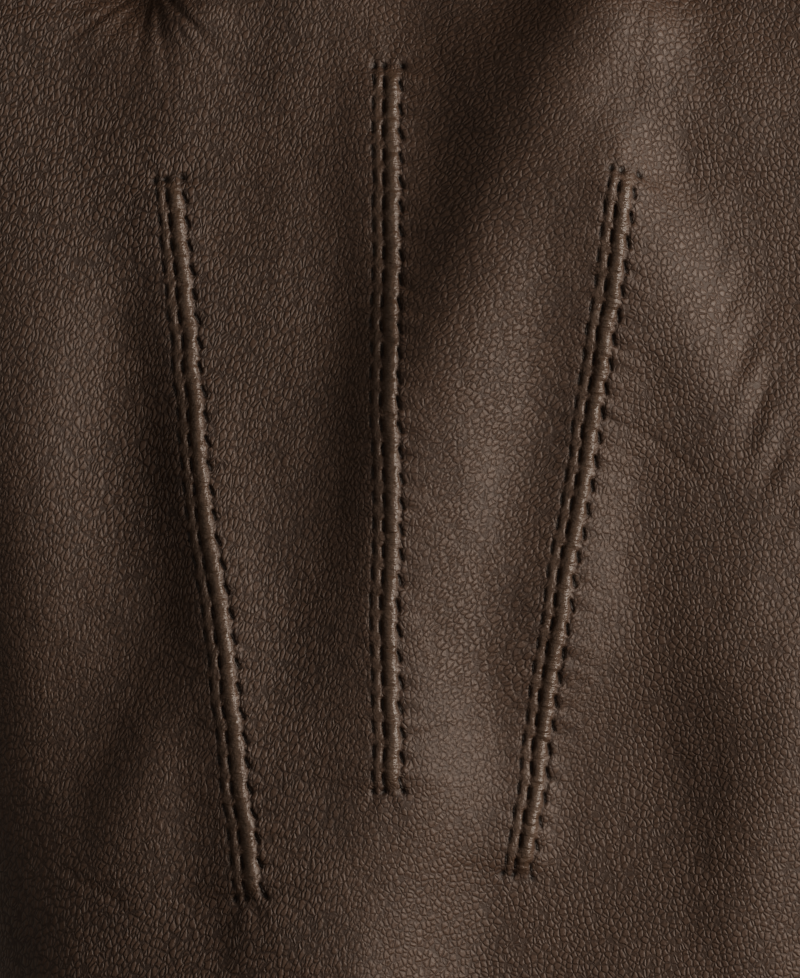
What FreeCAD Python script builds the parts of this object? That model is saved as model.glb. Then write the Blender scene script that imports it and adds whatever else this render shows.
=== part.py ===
"""A pair of lined leather touchscreen gloves, lying palm down side by side.

Row frame: +Z up, +Y from the cuffs to the fingertips, +X from the left glove to the right one.
The origin is under the middle of the pair, on the surface that the gloves lie on.

Only the left glove is modelled. It is drawn in a hand frame whose origin is on the cuff edge, in line
with the fork between middle and ring finger, with the thumb towards +X. Every sub-part of the right
glove is the mirror image of the left one.

A glove is a leather hand (back panel and palm panel), two-part leather fingers that hinge at the
knuckle and at the middle joint, fork quirks, a knitted lining, three stitched points on the back,
a turned cuff hem, a wrist elastic and conductive touch pads at the index and thumb tips.
"""

import FreeCAD, Part
import math
import os

import Sketcher

from FreeCAD import Placement, Rotation, Vector

OUT = "parts"
doc = FreeCAD.newDocument("touchscreen_gloves")
sheet = doc.addObject("Spreadsheet::Sheet", "Sizes")

# --------------------------------------------------------------------------------------------------
# Driving dimensions, in millimetres and degrees
# --------------------------------------------------------------------------------------------------
SIZES = {
    # where the left hand frame lies in the pair
    "hand_shift": -107.0,
    "cuff_shift": -118.5,
    # walls, from the outside in
    "leather": 1.2,
    "finger_leather": 1.0,
    "hem_gap": 0.1,
    "hem_wall": 0.8,
    "hem_length": 11.0,
    "lining_gap": 0.3,
    "lining_wall": 0.9,
    "hand_lining_inset": 2.3,
    "seam_height": 4.0,
    "sole": 0.2,
    # hand: width, height and centre of the section at each station along the hand
    "cuff_y": 0.0,
    "cuff_width": 90.0,
    "cuff_height": 29.0,
    "cuff_x": 2.5,
    "wrist_y": 38.0,
    "wrist_width": 82.0,
    "wrist_height": 27.0,
    "wrist_x": 2.0,
    "palm_y": 92.0,
    "palm_width": 95.0,
    "palm_height": 25.5,
    "palm_x": 2.5,
    "knuckle_y": 143.0,
    "knuckle_width": 101.0,
    "knuckle_height": 19.4,
    "knuckle_x": 2.9,
    "fork_y": 158.0,
    "fork_width": 102.0,
    "fork_height": 17.4,
    "fork_x": 2.9,
    "corner_share": 0.46,
    # knuckle and middle joints
    "joint_gap": 0.2,
    "knuckle_axis": 7.5,
    "middle_axis": 6.5,
    "knuckle_swing": 80.0,
    "middle_swing": 90.0,
    "swing_margin": 2.0,
    # points on the back
    "ridge_rise": 0.8,
    "ridge_width": 1.0,
    "thread_rise": 0.3,
    "thread_width": 0.45,
    "row_spacing": 1.45,
    # fourchettes, quirks, elastic and touch pads
    "fourchette_low": 5.0,
    "fourchette_high": 10.0,
    "quirk_wall": 1.2,
    "quirk_length": 8.0,
    "quirk_margin": 0.3,
    "elastic_length": 48.0,
    "elastic_width": 6.0,
    "elastic_wall": 0.7,
    "pad_length": 13.0,
    "pad_width": 11.0,
    "pad_setback": 4.5,
    "tool_size": 400.0,
}

# Each finger: place of its knuckle hinge, its angle away from +Y towards the thumb, the lengths of its
# two parts, its width at knuckle, middle joint and tip, and the width of its corridor at the knuckle.
FINGER_FIELDS = ("x", "y", "angle", "base", "tip", "wide", "mid", "end", "corridor")
FINGERS = {
    "little": (-35.4, 145.0, -7.0, 31.0, 31.0, 21.0, 19.5, 16.0, 27.0),
    "ring": (-12.0, 151.0, -2.5, 40.0, 37.0, 22.2, 20.5, 17.0, 25.0),
    "middle": (13.2, 154.0, 1.0, 43.0, 40.0, 24.0, 21.5, 18.0, 27.4),
    "index": (39.6, 150.0, 4.5, 38.0, 37.0, 24.2, 21.5, 18.0, 31.0),
    "thumb": (62.0, 92.0, 30.0, 29.0, 31.0, 25.0, 23.0, 18.5, 25.8),
}
SIZES.update({"base_high": 17.0, "mid_high": 15.0, "end_high": 11.5, "nail_share": 0.8, "nose_share": 0.55})
SIZES.update({"thenar_back": 52.0, "thenar_root": 24.0, "thenar_width": 34.0})
for finger, numbers in FINGERS.items():
    for field, number in zip(FINGER_FIELDS, numbers):
        SIZES[f"{finger}_{field}"] = number

# The fork between two fingers, as the x of the quirk that closes it and the y where it ends.
FORKS = {"ring_little": (-23.9, 144.4), "middle_ring": (0.0, 150.4), "index_middle": (26.6, 149.4)}
# Each point on the back: its far end by the fork and its near end towards the cuff.
POINTS = {
    "index": ((22.6, 131.2), (12.5, 64.8)),
    "middle": ((0.0, 142.2), (0.0, 73.0)),
    "ring": ((-21.2, 131.2), (-13.0, 62.9)),
}
for fork, (x, y) in FORKS.items():
    SIZES.update({f"{fork}_x": x, f"{fork}_y": y})
for point, (far, near) in POINTS.items():
    SIZES.update({f"{point}_far_x": far[0], f"{point}_far_y": far[1]})
    SIZES.update({f"{point}_near_x": near[0], f"{point}_near_y": near[1]})

for row, (alias, number) in enumerate(SIZES.items(), start=1):
    sheet.set(f"A{row}", alias)
    sheet.set(f"B{row}", str(number))
    sheet.setAlias(f"B{row}", alias)
doc.recompute()


def size(name):
    """The value of a sheet cell, for what has no property to bind."""
    return getattr(sheet, name)


def cell(text):
    """An expression's text with each known alias written as a reference to the sheet."""
    words = []
    for word in text.replace("(", "( ").replace(")", " )").split():
        words.append(f"Sizes.{word}" if word in SIZES else word)
    return " ".join(words)


# --------------------------------------------------------------------------------------------------
# Building blocks
# --------------------------------------------------------------------------------------------------
def origin_plane(body, role):
    return next(p for p in body.Origin.OriginFeatures if p.Role == role)


def section(body, name, along, wide, high, inset, centre="0", low="0"):
    """A rounded rectangle across +Y, standing on height low, drawn inset all round."""
    sketch = body.newObject("Sketcher::SketchObject", name)
    sketch.AttachmentSupport = [(origin_plane(body, "XZ_Plane"), "")]
    sketch.MapMode = "FlatFace"
    half, top, bend = 10.0, 16.0, 6.0
    corners = [(half - bend, bend, -90), (half - bend, top - bend, 0), (bend - half, top - bend, 90),
               (bend - half, bend, 180)]
    starts = [(bend - half, 0), (half, bend), (half - bend, top), (-half, top - bend)]
    ends = [(half - bend, 0), (half, top - bend), (bend - half, top), (-half, bend)]
    for start, end, (x, y, turn) in zip(starts, ends, corners):
        sketch.addGeometry(Part.LineSegment(Vector(*start, 0), Vector(*end, 0)), False)
        circle = Part.Circle(Vector(x, y, 0), Vector(0, 0, 1), bend)
        first = math.radians(turn)
        sketch.addGeometry(Part.ArcOfCircle(circle, first, first + math.pi / 2), False)
    for line in range(0, 8, 2):
        arc, following = line + 1, (line + 2) % 8
        sketch.addConstraint(Sketcher.Constraint("Tangent", line, 2, arc, 1))
        sketch.addConstraint(Sketcher.Constraint("Tangent", arc, 2, following, 1))
    for line in (0, 4):
        sketch.addConstraint(Sketcher.Constraint("Horizontal", line))
    for line in (2, 6):
        sketch.addConstraint(Sketcher.Constraint("Vertical", line))
    for arc in (3, 5, 7):
        sketch.addConstraint(Sketcher.Constraint("Equal", 1, arc))
    sketch.addConstraint(Sketcher.Constraint("PointOnObject", 0, 1, -1))
    dimensions = {
        "right": (Sketcher.Constraint("DistanceX", -1, 1, 2, 1, half), f"( {wide} ) / 2 - ( {inset} )"),
        "left": (Sketcher.Constraint("DistanceX", 6, 1, -1, 1, half), f"( {wide} ) / 2 - ( {inset} )"),
        "high": (Sketcher.Constraint("DistanceY", 0, 1, 4, 1, top), f"( {high} ) - 2 * ( {inset} )"),
        "bend": (Sketcher.Constraint("Radius", 1, bend), f"( {high} ) * corner_share - ( {inset} )"),
    }
    for label, (constraint, text) in dimensions.items():
        index = sketch.addConstraint(constraint)
        sketch.renameConstraint(index, label)
        sketch.setExpression(f"Constraints.{label}", cell(text))
    sketch.setExpression(".AttachmentOffset.Base.x", cell(centre))
    sketch.setExpression(".AttachmentOffset.Base.y", cell(f"( {low} ) + ( {inset} )"))
    sketch.setExpression(".AttachmentOffset.Base.z", cell(f"- ( {along} )"))
    return sketch


def lofted(name, stations, inset):
    """A solid lofted through stations (along, wide, high[, centre, low]), all drawn inset."""
    body = doc.addObject("PartDesign::Body", name)
    sketches = [section(body, f"{name}_{i}", s[0], s[1], s[2], inset, *s[3:]) for i, s in enumerate(stations)]
    doc.recompute()
    loft = body.newObject("PartDesign::AdditiveLoft", f"{name}_loft")
    loft.Profile = sketches[0]
    loft.Sections = sketches[1:]
    body.Tip = loft
    return body


def boolean(kind, name, first, second):
    """Part::Cut or Part::Common of two objects."""
    made = doc.addObject(kind, name)
    made.Base = first
    made.Tool = second
    return made


def fuse(name, members):
    made = doc.addObject("Part::MultiFuse", name)
    made.Shapes = members
    return made


def block(name, low, lengths, place=None):
    """A box from corner low with lengths, given as expressions, turned and moved by place."""
    box = doc.addObject("Part::Box", name)
    for side, text in zip(("Length", "Width", "Height"), lengths):
        box.setExpression(side, cell(text))
    for axis, text in zip("xyz", low):
        box.setExpression(f"Placement.Base.{axis}", cell(text))
    if place is not None:
        doc.recompute()
        corner = box.Placement
        box.setExpression("Placement.Base.x", None)
        box.setExpression("Placement.Base.y", None)
        box.setExpression("Placement.Base.z", None)
        box.Placement = place.multiply(corner)
    return box


def finger_place(finger):
    """The placement of a finger's own frame, at its knuckle hinge, in the hand frame."""
    turn = Rotation(Vector(0, 0, 1), -size(f"{finger}_angle"))
    return Placement(Vector(size(f"{finger}_x"), size(f"{finger}_y"), 0), turn)


def swing_block(name, along, height, half_swing, side):
    """All that a swinging neighbour needs clear: beyond a plane through the hinge that leans by half_swing.

    side is -1 for the end towards the knuckle and +1 for the end towards the fingertip."""
    box = doc.addObject("Part::Box", name)
    for edge in ("Length", "Width", "Height"):
        box.setExpression(edge, cell("tool_size"))
    reach = size("tool_size")
    lean = Rotation(Vector(1, 0, 0), -side * half_swing)
    corner = Vector(-reach / 2, 0 if side > 0 else -reach, -reach / 2)
    box.Placement = Placement(Vector(0, along, height), lean).multiply(Placement(corner, Rotation()))
    return box


def half_angle(joint):
    return size(f"{joint}_swing") / 2 + size("swing_margin")


# --------------------------------------------------------------------------------------------------
# The hand: one tube from cuff to knuckles with a stub for the thumb
# --------------------------------------------------------------------------------------------------
HAND = [
    (f"{place}_y", f"{place}_width", f"{place}_height", f"{place}_x", "- sole")
    for place in ("cuff", "wrist", "palm", "knuckle", "fork")
]
THENAR = [
    ("- thenar_back", "thenar_root", "base_high + 5", "-9"),
    ("- thenar_back * 0.4", "thenar_width", "base_high + 4", "-3"),
    ("6", "thumb_wide", "base_high"),
]


def hand_solid(name, inset):
    """The full hand with its thumb stub, inset all round. Fingers and thumb are not yet cut off."""
    hand = lofted(f"{name}_hand", HAND, inset)
    stub = lofted(f"{name}_stub", THENAR, inset)
    stub.Placement = finger_place("thumb")
    return fuse(name, [hand, stub])


def finger_clearance(name, set_back):
    """What the fingers and the thumb need clear at the knuckle line, as one tool that starts set_back early."""
    tools = []
    for finger in FINGERS:
        half_width = size(f"{finger}_corridor") / 2
        beyond = doc.addObject("Part::Box", f"{finger}_{name}_beyond")
        beyond.setExpression("Length", cell(f"{finger}_corridor"))
        beyond.Width = 34
        beyond.Height = 80
        beyond.Placement = Placement(Vector(-half_width, 0, -40), Rotation())
        leaning = swing_block(f"{finger}_{name}_under", 0, size("knuckle_axis"), half_angle("knuckle"), 1)
        slab = doc.addObject("Part::Box", f"{finger}_{name}_slab")
        slab.setExpression("Length", cell(f"{finger}_corridor"))
        slab.Width = 60
        slab.Height = 80
        slab.Placement = Placement(Vector(-half_width, -30, -60), Rotation())
        under = boolean("Part::Common", f"{finger}_{name}_notch", slab, leaning)
        tool = fuse(f"{finger}_{name}", [beyond, under])
        tool.Placement = finger_place(finger).multiply(Placement(Vector(0, -set_back, 0), Rotation()))
        tools.append(tool)
    return fuse(name, tools)


def knuckle_web(finger):
    """The web across the hand's end at one finger, before its mouth is cut."""
    web = doc.addObject("Part::Box", f"{finger}_web")
    web.setExpression("Length", cell(f"{finger}_corridor"))
    web.setExpression("Width", cell("quirk_wall"))
    web.Height = 40
    low = Vector(-size(f"{finger}_corridor") / 2, -2 * size("joint_gap") - size("quirk_wall"), -1)
    web.Placement = finger_place(finger).multiply(Placement(low, Rotation()))
    return web


def finger_mouth(finger):
    """The hole that a finger's inside makes through the web."""
    stations = [("-14", f"{finger}_wide", "base_high"), ("2", f"{finger}_wide", "base_high")]
    mouth = lofted(f"{finger}_mouth", stations, "finger_leather")
    mouth.Placement = finger_place(finger)
    return mouth


outer = hand_solid("hand_outer", "0")
inner = hand_solid("hand_inner", "leather")
lining_outer = hand_solid("hand_lining_outer", "hand_lining_inset")
lining_inner = hand_solid("hand_lining_inner", "hand_lining_inset + lining_wall")
clearance = finger_clearance("clearance", size("joint_gap"))
big = "tool_size"
floor = block("floor", (f"- {big} / 2", f"- {big} / 2", f"- {big}"), (big, big, big))
above_seam = block("above_seam", (f"- {big} / 2", f"- {big} / 2", "seam_height"), (big, big, big))
below_seam = block("below_seam", (f"- {big} / 2", f"- {big} / 2", f"seam_height - {big}"), (big, big, big))

hollow = boolean("Part::Cut", "hollow_hand", outer, inner)
open_hand = boolean("Part::Cut", "open_hand", hollow, clearance)
leather_hand = boolean("Part::Cut", "leather_hand", open_hand, floor)
back_panel = boolean("Part::Common", "back_panel", leather_hand, above_seam)
palm_panel = boolean("Part::Common", "palm_panel", leather_hand, below_seam)

# Quirks: the gussets that close the forks. Each finger opens through a web inside the hand's end, and
# a short wall runs back from each fork.
quirk_blocks = []
quirk_rooms = []
for fork in FORKS:
    low = (f"{fork}_x - quirk_wall / 2", f"{fork}_y - quirk_length", "- 1")
    quirk_blocks.append(block(f"{fork}_quirk", low, ("quirk_wall", "quirk_length", "40")))
    low = (f"{fork}_x - quirk_wall / 2 - quirk_margin", f"{fork}_y - quirk_length - quirk_margin", "- 1")
    quirk_rooms.append(block(f"{fork}_room", low, ("quirk_wall + 2 * quirk_margin", "30", "40")))
finger_mouths = []
for finger in FINGERS:
    if finger != "thumb":
        quirk_blocks.append(knuckle_web(finger))
        finger_mouths.append(finger_mouth(finger))
quirk_walls = boolean("Part::Cut", "quirk_walls", fuse("quirk_blocks", quirk_blocks), fuse("mouths", finger_mouths))
quirk_fill = boolean("Part::Common", "quirk_fill", quirk_walls, inner)
quirks = boolean("Part::Cut", "quirks", quirk_fill, clearance)

# The lining starts above the cuff hem, follows the leather and opens at the fingers.
hem_zone = block("hem_zone", (f"- {big} / 2", "- 20", "- 20"), (big, "20 + hem_length", "100"))
past_hem = block("past_hem", (f"- {big} / 2", "- 20", "- 20"), (big, "20 + hem_length + lining_gap", "100"))
lining_tube = boolean("Part::Cut", "lining_tube", lining_outer, lining_inner)
set_back = finger_clearance("lining_end", size("quirk_wall") + 3.5 * size("joint_gap"))
lining_tools = fuse("lining_tools", [set_back, past_hem, *quirk_rooms])
hand_lining = boolean("Part::Cut", "hand_lining", lining_tube, lining_tools)

# The hem is the cuff's edge turned in and sewn down.
hem_outer = lofted("hem_outer", HAND, "leather + hem_gap")
hem_inner = lofted("hem_inner", HAND, "leather + hem_gap + hem_wall")
hem_ring = boolean("Part::Cut", "hem_ring", hem_outer, hem_inner)
cuff_hem = boolean("Part::Common", "cuff_hem", hem_ring, hem_zone)

# The elastic gathers the palm side of the wrist, between leather and lining.
elastic_low = ("wrist_x - elastic_length / 2", "wrist_y", "leather - sole + hem_gap + 0.1")
wrist_elastic = block("wrist_elastic", elastic_low, ("elastic_length", "elastic_width", "elastic_wall"))


# --------------------------------------------------------------------------------------------------
# The three points on the back: pairs of raised tucks between rows of stitching
# --------------------------------------------------------------------------------------------------
def point_strip(name, point, offset, wide):
    """A tall strip along a point, offset to one side of its middle line."""
    far = Vector(size(f"{point}_far_x"), size(f"{point}_far_y"), 0)
    near = Vector(size(f"{point}_near_x"), size(f"{point}_near_y"), 0)
    line = far - near
    turn = Rotation(Vector(0, 1, 0), line)
    strip = doc.addObject("Part::Box", name)
    strip.setExpression("Length", cell(wide))
    strip.Width = line.Length
    strip.Height = 40
    corner = Vector(offset - size(wide) / 2, 0, size("knuckle_axis"))
    strip.Placement = Placement(near, turn).multiply(Placement(corner, Rotation()))
    return strip


def raised_on_back(name, rise, strips):
    """What strips cover of a layer of height rise on the back of the hand."""
    layer_outer = lofted(f"{name}_layer", HAND, f"- {rise}")
    layer = boolean("Part::Cut", f"{name}_skin", layer_outer, outer)
    return boolean("Part::Common", name, layer, fuse(f"{name}_strips", strips))


spacing = size("row_spacing")
tucks = [
    point_strip(f"{point}_tuck_{i}", point, side * spacing / 2, "ridge_width")
    for point in POINTS
    for i, side in enumerate((-1, 1))
]
rows = [
    point_strip(f"{point}_row_{i}", point, side * spacing, "thread_width")
    for point in POINTS
    for i, side in enumerate((-1, 0, 1))
]
points = raised_on_back("points", "ridge_rise", tucks)
point_stitching = raised_on_back("point_stitching", "thread_rise", rows)


# --------------------------------------------------------------------------------------------------
# Fingers: each a base and a tip, drawn along +Y in the finger's own frame
# --------------------------------------------------------------------------------------------------
def base_stations(finger):
    reach = f"{finger}_base"
    return [("joint_gap", f"{finger}_wide", "base_high"), (f"{reach} - joint_gap", f"{finger}_mid", "mid_high")]


def tip_stations(finger, shorter):
    """From the middle joint to the rounded fingertip, which ends shorter than the outside."""
    reach, start = f"{finger}_tip", f"{finger}_base"
    end = f"( {reach} - ( {shorter} ) )"
    full, nose = "end_high", f"{finger}_end"
    return [
        (f"{start} + joint_gap", f"{finger}_mid", "mid_high"),
        (f"{start} + {end} * 0.6", f"( {finger}_mid + {nose} ) / 2", "( mid_high + end_high ) / 2"),
        (f"{start} + {end} * 0.9", f"{nose} * nail_share", f"{full} * nail_share + 1"),
        (f"{start} + {end}", f"{nose} * nose_share", f"{full} * nose_share + 1.5"),
    ]


def swing_tools(name, finger, part):
    """The swing clearance at one part's ends, as a list of tools in the finger's frame."""
    joint_at = size(f"{finger}_base")
    gap = size("joint_gap")
    middle = (size("middle_axis"), half_angle("middle"))
    if part == "tip":
        return [swing_block(f"{name}_near", joint_at + gap, *middle, -1)]
    near = swing_block(f"{name}_near", gap, size("knuckle_axis"), half_angle("knuckle"), -1)
    far = swing_block(f"{name}_far", joint_at - gap, *middle, 1)
    return [near, far]


def finger_tube(name, finger, part, skin, wall):
    """One part of a finger as a tube that starts skin below the outside and is wall thick."""
    if part == "base":
        outside = lofted(f"{name}_outside", base_stations(finger), skin)
        far = [("0", f"{finger}_wide", "base_high"), (f"{finger}_base", f"{finger}_mid", "mid_high")]
        inside = lofted(f"{name}_inside", far, f"{skin} + {wall}")
    else:
        outside = lofted(f"{name}_outside", tip_stations(finger, skin), skin)
        inside_stations = tip_stations(finger, f"{skin} + {wall}")
        inside_stations[0] = (f"{finger}_base", *inside_stations[0][1:])
        inside = lofted(f"{name}_inside", inside_stations, f"{skin} + {wall}")
    tube = boolean("Part::Cut", f"{name}_tube", outside, inside)
    tools = fuse(f"{name}_swing", swing_tools(name, finger, part)) if part == "base" else None
    if tools is None:
        tools = swing_tools(name, finger, part)[0]
    return boolean("Part::Cut", f"{name}_open", tube, tools)


def fourchette_windows(name, finger, part):
    """Boxes over the sides of a finger that face another finger. The thumb's two sides both have one."""
    sides = {"index": (-1,), "little": (1,)}.get(finger, (-1, 1))
    start = size(f"{finger}_base") if part == "tip" else 0.0
    reach = size(f"{finger}_tip") * 0.72 if part == "tip" else size(f"{finger}_base")
    windows = []
    for side in sides:
        window = doc.addObject("Part::Box", f"{name}_window_{'near' if side < 0 else 'far'}")
        window.Length = 30
        window.Width = reach
        window.setExpression("Height", cell("fourchette_high - fourchette_low"))
        window.Placement = Placement(Vector(0 if side > 0 else -30, start, size("fourchette_low")), Rotation())
        windows.append(window)
    return windows


def finger_node(label, members, finger):
    """Groups a finger part's solids and puts them at the finger's place on the hand."""
    node = doc.addObject("Part::Compound", label)
    node.Links = members
    node.Placement = finger_place(finger)
    return node


def touch_window(name, finger):
    """The box over the pad of a fingertip that the conductive patch fills."""
    window = doc.addObject("Part::Box", name)
    window.setExpression("Length", cell("pad_width"))
    window.setExpression("Width", cell("pad_length"))
    window.setExpression("Height", cell("fourchette_low"))
    end = size(f"{finger}_base") + size(f"{finger}_tip")
    at = end - size("pad_setback") - size("pad_length")
    window.Placement = Placement(Vector(-size("pad_width") / 2, at, -1), Rotation())
    return window


nodes = {
    "back_panel": back_panel,
    "palm_panel": palm_panel,
    "fork_quirks": quirks,
    "hand_lining": hand_lining,
    "cuff_hem": cuff_hem,
    "wrist_elastic": wrist_elastic,
    "back_points": points,
    "point_stitching": point_stitching,
}
for finger in FINGERS:
    for part in ("base", "tip"):
        name = f"{finger}_{part}"
        shell = finger_tube(f"{name}_leather", finger, part, "0", "finger_leather")
        if part == "tip" and finger in ("index", "thumb"):
            pad_window = touch_window(f"{finger}_pad_window", finger)
            pad = boolean("Part::Common", f"{finger}_pad", shell, pad_window)
            nodes[f"{finger}_touch_pad"] = finger_node(f"{finger}_touch_pad_node", [pad], finger)
            shell = boolean("Part::Cut", f"{name}_around_pad", shell, pad_window)
        windows = fourchette_windows(name, finger, part)
        sides = windows[0] if len(windows) == 1 else fuse(f"{name}_windows", windows)
        strips = boolean("Part::Cut", f"{name}_strips", shell, sides)
        fourchettes = boolean("Part::Common", f"{name}_fourchettes", shell, sides)
        nodes[f"{name}_leather"] = finger_node(f"{name}_leather_node", [strips, fourchettes], finger)
        lining = finger_tube(f"{name}_lining", finger, part, "finger_leather + lining_gap", "lining_wall")
        nodes[f"{name}_lining"] = finger_node(f"{name}_lining_node", [lining], finger)
doc.recompute()


# --------------------------------------------------------------------------------------------------
# The pair: the left glove in its place, and its mirror image
# --------------------------------------------------------------------------------------------------
def place_pair():
    """Makes left_NODE and right_NODE for every sub-part of the glove and returns them by label."""
    pair = {}
    for node, made in nodes.items():
        left = doc.addObject("Part::Compound", f"left_{node}")
        left.Links = [made]
        left.Label = f"left_{node}"
        left.Placement = Placement(Vector(), Rotation())
        left.setExpression("Placement.Base.x", cell("hand_shift"))
        left.setExpression("Placement.Base.y", cell("cuff_shift"))
        right = doc.addObject("Part::Mirroring", f"right_{node}")
        right.Source = left
        right.Normal = Vector(1, 0, 0)
        right.Label = f"right_{node}"
        pair[left.Label] = left
        pair[right.Label] = right
    doc.recompute()
    return pair


def check_states():
    """Stops if any object of the document failed to build."""
    failed = [o.Label for o in doc.Objects if "Invalid" in o.State or "Error" in o.State]
    if failed:
        raise SystemExit(f"these objects failed: {failed}")


def export(pair):
    """Checks each sub-part's shape and writes it to parts/LABEL.step."""
    os.makedirs(OUT, exist_ok=True)
    for label, made in sorted(pair.items()):
        shape = made.Shape
        if shape.isNull() or not shape.isValid() or not shape.Solids:
            raise SystemExit(f"{label} has no valid solid")
        Part.makeCompound(shape.Solids).exportStep(os.path.join(OUT, f"{label}.step"))
        print(f"{label}: {len(shape.Solids)} solids, {shape.Volume:.1f} mm3")


pair = place_pair()
check_states()
export(pair)
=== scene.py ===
import math

import bmesh
import bpy
import numpy as np
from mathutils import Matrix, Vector


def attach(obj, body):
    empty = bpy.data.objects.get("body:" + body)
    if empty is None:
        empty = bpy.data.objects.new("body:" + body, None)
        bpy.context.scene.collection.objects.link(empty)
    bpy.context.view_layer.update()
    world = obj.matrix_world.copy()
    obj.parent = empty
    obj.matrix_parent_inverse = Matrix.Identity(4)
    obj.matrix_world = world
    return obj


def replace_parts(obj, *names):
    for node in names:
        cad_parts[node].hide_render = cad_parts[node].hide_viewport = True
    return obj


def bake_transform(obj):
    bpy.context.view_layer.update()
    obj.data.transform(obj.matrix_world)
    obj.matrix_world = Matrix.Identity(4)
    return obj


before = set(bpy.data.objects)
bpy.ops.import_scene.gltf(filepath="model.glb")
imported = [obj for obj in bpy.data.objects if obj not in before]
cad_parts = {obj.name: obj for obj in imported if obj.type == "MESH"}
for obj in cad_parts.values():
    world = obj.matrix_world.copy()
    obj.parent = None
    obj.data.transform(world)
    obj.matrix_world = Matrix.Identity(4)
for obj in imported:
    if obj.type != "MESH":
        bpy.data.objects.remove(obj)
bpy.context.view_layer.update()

# ---------------------------------------------------------------------------------------------------
# The left glove, in millimetres, in its own hand frame: x towards the thumb, y to the fingertips and
# z up. Its origin is on the cuff edge, in line with the fork between the middle and ring fingers.
# ---------------------------------------------------------------------------------------------------
HAND_SHIFT = (-107.0, -118.5)
# Size of the plain leather mesh. It is halved on the fingers and the cuff, halved again on the back of the
# hand and once more along the stitched points.
STEP = 1.2
LINING_STEP = 2.0
HEM_THICKNESS = 2.4  # of the folded cuff
LINING_DEPTH = 3.3
INNER_DEPTH = -1.3  # field value that divides the outside of the leather from the inside of the folded cuff
SIDE_SEAM_HEIGHT = 6.0  # where the back meets the palm
BACK_HEIGHT = 11  # the relief of the back is above this height
HEM_SEAM = 9.6  # distance of the hem's stitches from the edge of the cuff
HEM_END = 13  # how far in the folded hem reaches
WRIST = 41  # where the elastic gathers the palm
MIDDLE_BEND = 9.0  # reach of a middle joint's bend on each side of its hinge
THUMB_SEAM = -12  # along the thumb, from its root hinge

# knuckle hinge x and y, angle towards the thumb, lengths of base and tip, width at knuckle, mid, end
FINGERS = {
    "little": (-35.4, 145.0, -7.0, 31.0, 31.0, 22.0, 19.5, 16.5),
    "ring": (-12.0, 151.0, -2.5, 40.0, 37.0, 23.4, 20.8, 17.4),
    "middle": (13.2, 154.0, 1.0, 43.0, 40.0, 25.2, 21.8, 18.4),
    "index": (39.6, 150.0, 4.5, 38.0, 37.0, 25.2, 21.8, 18.4),
    "thumb": (62.0, 92.0, 30.0, 29.0, 31.0, 26.0, 23.0, 19.0),
}
KNUCKLE_BEND = {"little": 15, "ring": 17, "middle": 17, "index": 17, "thumb": 14}  # reach of the bend
# gathers at the forks: x, y, depth and reach
FORKS = [(-22.8, 151.0, 0.42, 7.0), (0.6, 155.0, 0.20, 3.0), (26.6, 152.5, 0.36, 9.0)]
# far end by the fork and near end towards the cuff of each stitched point
POINTS = [((22.6, 131.2), (12.5, 64.85)), ((0.0, 142.25), (0.0, 73.0)), ((-21.15, 131.2), (-13.0, 62.9))]
# Rows of stitches of a point: distance across from the point's line, how far across a stitch leans over
# one pitch, width and depth of its slot, rise of the bridges between slots, and width, depth and painted
# shade of the groove (how much its colour is darkened to stand in for the shadow in it)
ROWS = [
    (-1.25, 0.15, 0.10, 0.26, 0.07, 0.30, 0.07, 0.20),
    (-0.25, 0.15, 0.11, 0.36, 0.15, 0.22, 0.04, 0.10),
    (1.38, 0.70, 0.14, 0.42, 0.09, 0.26, 0.03, 0.06),
]
ROW_SHIFT = 0.13  # of a pitch, from one row to the next
STITCHES = 29  # in a row
POINT_THREAD, HEM_THREAD = 0.15, 0.24  # radii
HEM_STITCHES = 84
BACK = (-34.5, 37.5, 53.5, 150.0)  # x and y range of the fine mesh of the back
PAD_SIZE = (6.3, 8.2)  # half width and half length of a touch pad
PAD_FROM_END = 11.5  # of its middle from the fingertip

NOISE_CELLS = 256
_table = np.random.default_rng(11).random((NOISE_CELLS, NOISE_CELLS))


def noise(x, y, seed=0):
    """Smooth value noise between -1 and 1 with unit cells. The seed moves it over its table."""
    x, y = np.asarray(x) + seed * 17.31, np.asarray(y) + seed * 9.73
    i, j = np.floor(x).astype(int), np.floor(y).astype(int)
    u, v = x - i, y - j
    u, v = u * u * (3 - 2 * u), v * v * (3 - 2 * v)

    def at(a, b):
        return _table[(i + a) % NOISE_CELLS, (j + b) % NOISE_CELLS]

    low = at(0, 0) * (1 - u) + at(1, 0) * u
    high = at(0, 1) * (1 - u) + at(1, 1) * u
    return 2 * (low * (1 - v) + high * v) - 1


def step(t, lo=0.0, hi=1.0):
    """A smooth rise from 0 at lo to 1 at hi."""
    t = np.clip((np.asarray(t) - lo) / (hi - lo), 0, 1)
    return t * t * (3 - 2 * t)


def bell(t, width):
    """1 at 0, falling smoothly to nothing beyond a few widths."""
    return np.exp(-((t / width) ** 2))


def through(x, xs, ys):
    """A smooth curve through stations, level beyond its ends."""
    xs, ys = np.asarray(xs, float), np.asarray(ys, float)
    rise = np.diff(ys) / np.diff(xs)
    mid = np.where(rise[:-1] * rise[1:] > 0, (rise[:-1] + rise[1:]) / 2, 0)
    slope = np.concatenate([[0], mid, [0]])
    i = np.clip(np.searchsorted(xs, x) - 1, 0, len(xs) - 2)
    gap = (xs[1:] - xs[:-1])[i]
    t = np.clip((x - xs[i]) / gap, 0, 1)
    a, b = (1 + 2 * t) * (1 - t) ** 2, t * t * (3 - 2 * t)
    c, d = t * (1 - t) ** 2 * gap, t * t * (t - 1) * gap
    return a * ys[i] + b * ys[i + 1] + c * slope[i] + d * slope[i + 1]


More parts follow.
